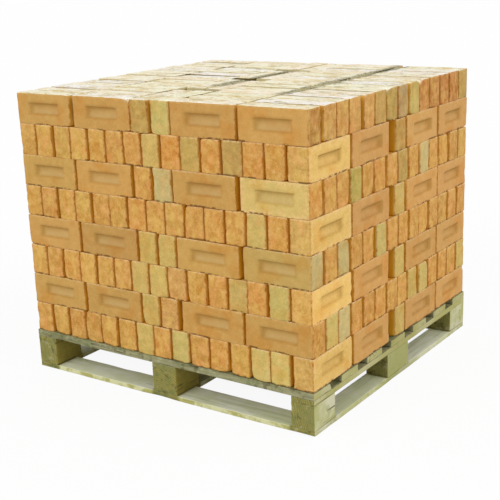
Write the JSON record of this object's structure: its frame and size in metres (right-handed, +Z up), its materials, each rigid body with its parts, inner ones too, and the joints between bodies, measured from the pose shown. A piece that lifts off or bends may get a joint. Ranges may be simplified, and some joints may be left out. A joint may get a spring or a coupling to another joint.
{
  "type": "pallet of bricks",
  "caption": "Stack of frogged clay bricks laid on edge in alternating layers, on a wooden block pallet with fork openings on every side.",
  "frame": {"origin": "middle of the pallet's underside, on the floor", "axes": "+X to the right along the deck boards, -Y to the front that shows fifteen brick ends in the lowest layer, +Z up"},
  "size_m": [1.122, 1.078, 0.96],
  "materials": {
    "brick": "rough fired clay, orange to buff, sanded beds and broken arrises",
    "pallet_wood": "sawn softwood, weathered grey-green"
  },
  "bodies": {
    "root": {"brick_layer_1": "brick", "brick_layer_2": "brick", "brick_layer_3": "brick", "brick_layer_4": "brick", "brick_layer_5": "brick", "brick_layer_6": "brick", "brick_layer_7": "brick", "brick_layer_8": "brick", "deck_board_1": "pallet_wood", "deck_board_2": "pallet_wood", "deck_board_3": "pallet_wood", "deck_board_4": "pallet_wood", "deck_board_5": "pallet_wood", "deck_board_6": "pallet_wood", "deck_board_7": "pallet_wood", "stringer_left": "pallet_wood", "stringer_middle": "pallet_wood", "stringer_right": "pallet_wood", "block_front_left": "pallet_wood", "block_front_middle": "pallet_wood", "block_front_right": "pallet_wood", "block_middle_left": "pallet_wood", "block_middle_middle": "pallet_wood", "block_middle_right": "pallet_wood", "block_back_left": "pallet_wood", "block_back_middle": "pallet_wood", "block_back_right": "pallet_wood", "bottom_board_front": "pallet_wood", "bottom_board_back": "pallet_wood", "bottom_board_left": "pallet_wood", "bottom_board_middle": "pallet_wood", "bottom_board_right": "pallet_wood"}
  },
  "joints": []
}
